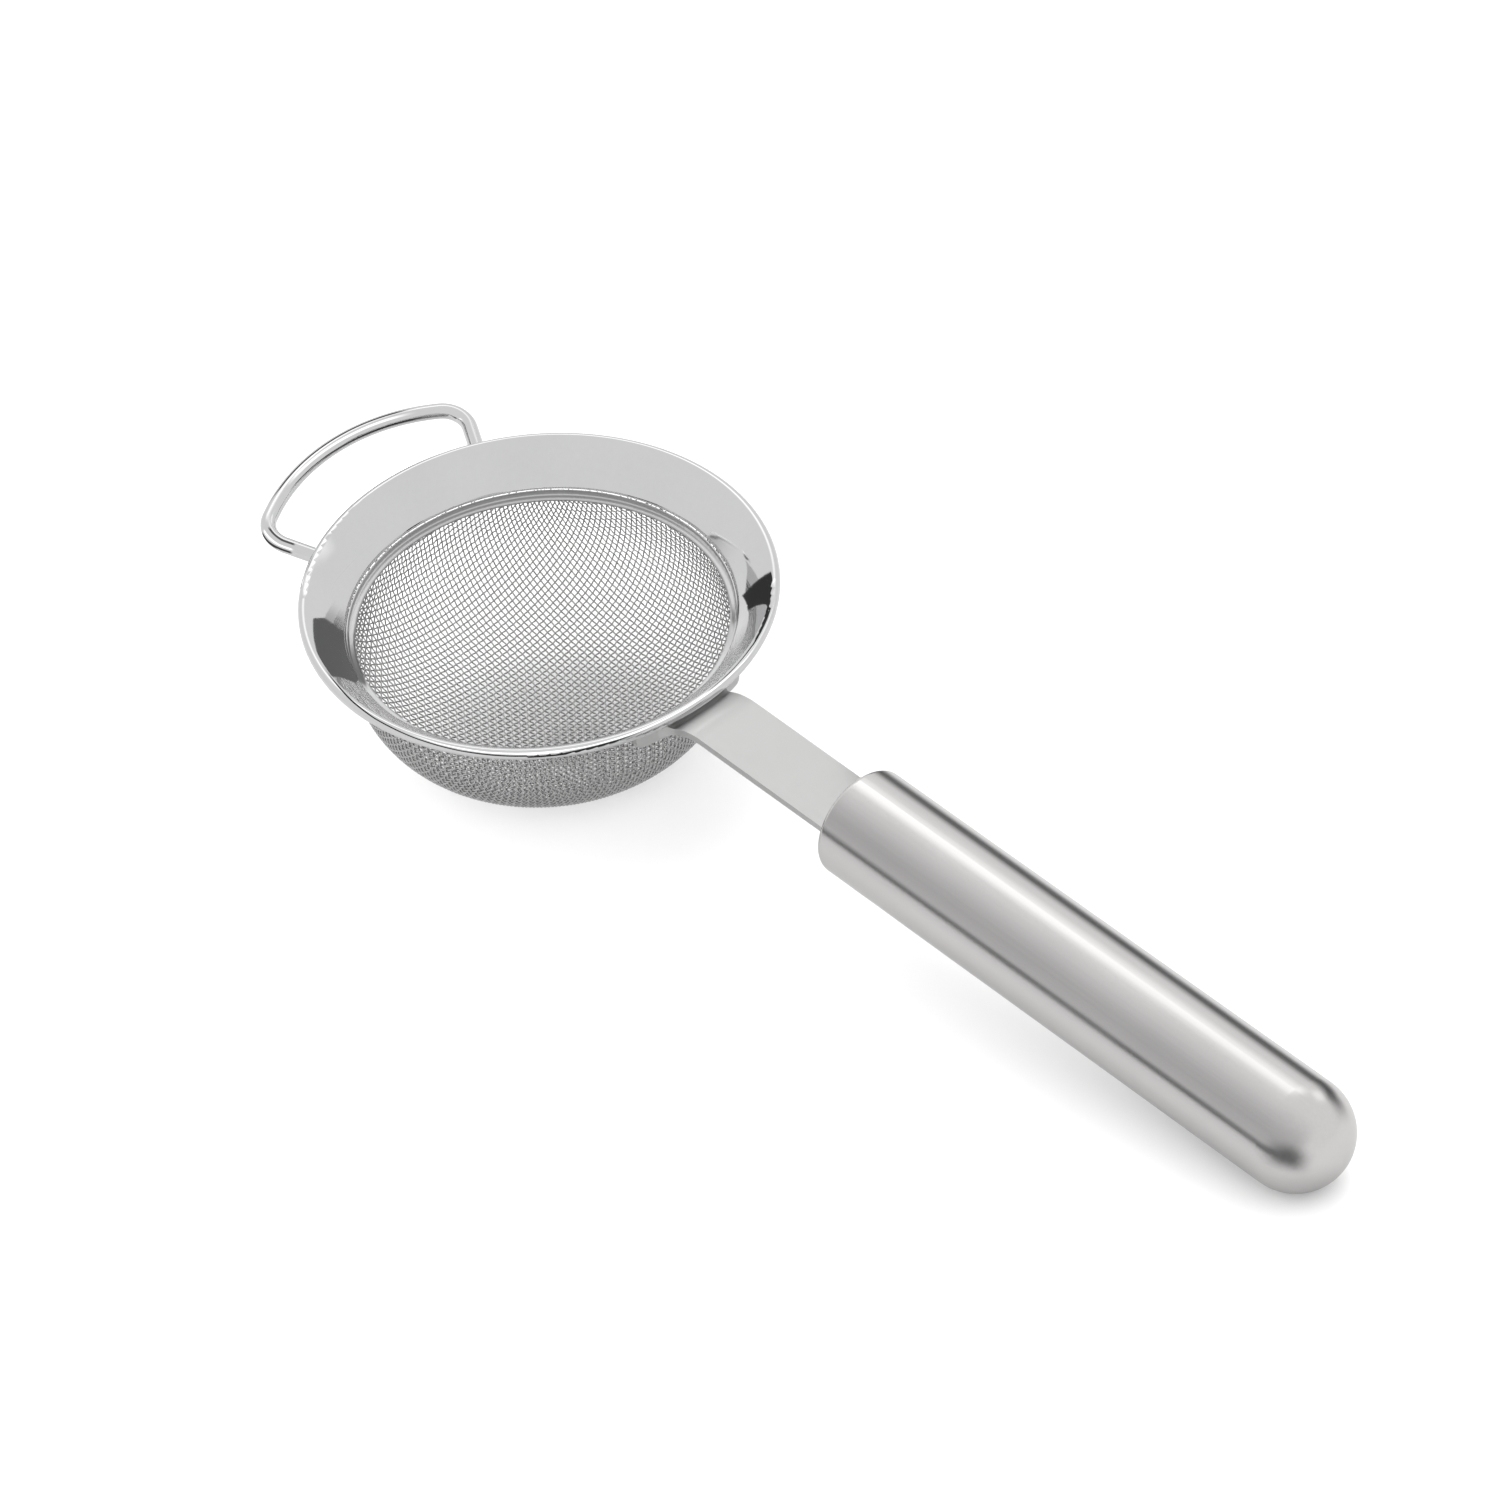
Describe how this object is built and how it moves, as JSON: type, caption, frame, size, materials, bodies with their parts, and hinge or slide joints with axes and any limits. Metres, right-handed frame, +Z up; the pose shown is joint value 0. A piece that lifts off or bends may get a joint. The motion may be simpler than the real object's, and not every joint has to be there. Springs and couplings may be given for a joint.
{
  "type": "tea strainer",
  "caption": "Hand-held tea strainer: deep woven wire bowl in a flared rolled rim, flat neck, round hollow handle and a bent wire loop opposite for resting or hanging.",
  "frame": {"origin": "where the lowest point of the bowl stands on the table, with the strainer resting on its bowl and on the domed end of its handle", "axes": "+X along the table from the bowl towards the handle's end, +Z up, mirror plane Y = 0; the rim tips about 6 degrees down towards +X"},
  "size_m": [0.2364, 0.08, 0.0391],
  "materials": {
    "polished_steel": "mirror-polished stainless steel",
    "woven_wire": "plain-weave stainless steel wire cloth",
    "satin_steel": "satin stainless steel",
    "brushed_steel": "fine lengthwise-brushed stainless steel"
  },
  "bodies": {
    "root": {"rim_ring": "polished_steel", "mesh_clamp_ring": "polished_steel", "mesh_bowl": "woven_wire", "neck_bracket": "satin_steel", "handle_tube": "brushed_steel", "handle_end_cap": "brushed_steel", "hanging_loop": "polished_steel"}
  },
  "joints": []
}
